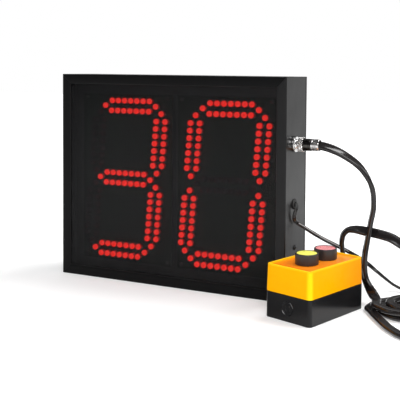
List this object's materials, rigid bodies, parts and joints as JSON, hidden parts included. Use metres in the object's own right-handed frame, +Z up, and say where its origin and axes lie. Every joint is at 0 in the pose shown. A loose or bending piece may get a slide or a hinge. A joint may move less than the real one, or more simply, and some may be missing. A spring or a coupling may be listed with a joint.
{
  "type": "led lap counter",
  "caption": "Free-standing LED lap counter: black framed cabinet with large seven-segment digits, a push-button hand station on a coiled cable, and a thin mains lead.",
  "frame": {"origin": "centre of the cabinet's underside, on the surface it stands on", "axes": "+Z up, the display faces -Y, +X towards the side with the connector and the push-button station"},
  "size_m": [0.5953, 0.3372, 0.285],
  "materials": {
    "rail_black": "black paint, satin",
    "smoked_panel": "smoked, polished",
    "zinc_steel": "zinc plated",
    "supply_case": "plain",
    "bright_chrome": "polished",
    "board": "solder mask",
    "black_plastic": "moulded, semi-gloss",
    "black_rubber": "matt",
    "station_yellow": "moulded, semi-gloss",
    "cap_yellow": "moulded, translucent look",
    "cap_red": "moulded, translucent look",
    "cable_black": "soft vinyl jacket, glossy",
    "terminal": "moulded"
  },
  "bodies": {
    "counter": {"rail_top": "rail_black", "rail_bottom": "rail_black", "rail_left": "rail_black", "rail_right": "rail_black", "side_screw": "rail_black", "bracket_bottom_left": "zinc_steel", "bracket_bottom_right": "zinc_steel", "bracket_top_left": "zinc_steel", "bracket_top_right": "zinc_steel", "front_panel": "smoked_panel", "rear_cover": "rail_black", "chassis_plate": "zinc_steel", "led_board_tens": "board", "led_board_units": "board", "power_supply": "supply_case", "controller_board": "board", "terminal_block": "terminal", "socket": "bright_chrome", "socket_nut": "bright_chrome", "plug_shell": "bright_chrome", "plug_clamp": "bright_chrome", "lead_grommet": "black_rubber", "station_base": "black_plastic", "knockout_plug": "black_plastic", "station_seal": "black_rubber", "station_cover": "station_yellow", "bezel_yellow": "black_plastic", "bezel_red": "black_plastic", "nut_yellow": "black_plastic", "nut_red": "black_plastic", "contact_block_yellow": "black_plastic", "contact_block_red": "black_plastic", "spring_yellow": "zinc_steel", "spring_red": "zinc_steel", "gland_body": "black_plastic", "gland_nut": "black_plastic", "control_coil": "cable_black", "control_run": "cable_black", "control_branch": "cable_black", "lead_coil": "cable_black", "lead_run": "cable_black", "lead_tail": "cable_black", "lead_tie": "black_plastic", "mains_plug": "black_plastic"},
    "yellow_button": {"cap_yellow": "cap_yellow"},
    "red_button": {"cap_red": "cap_red"},
    "ring": {"coupling_ring": "bright_chrome"}
  },
  "joints": [
    {"name": "press_yellow", "type": "slide", "parent": "counter", "child": "yellow_button", "axis": [0, 0, -1], "range_m": [0, 0.005], "stiffness_N_per_m": 400, "springref_m": -0.002, "deforming": ["spring_yellow"]},
    {"name": "press_red", "type": "slide", "parent": "counter", "child": "red_button", "axis": [0, 0, -1], "range_m": [0, 0.005], "stiffness_N_per_m": 400, "springref_m": -0.002, "deforming": ["spring_red"]},
    {"name": "coupling_turn", "type": "hinge", "parent": "counter", "child": "ring", "pos_m": [0.1797, -0.007, 0.199], "axis": [1, 0, 0], "continuous": true}
  ]
}
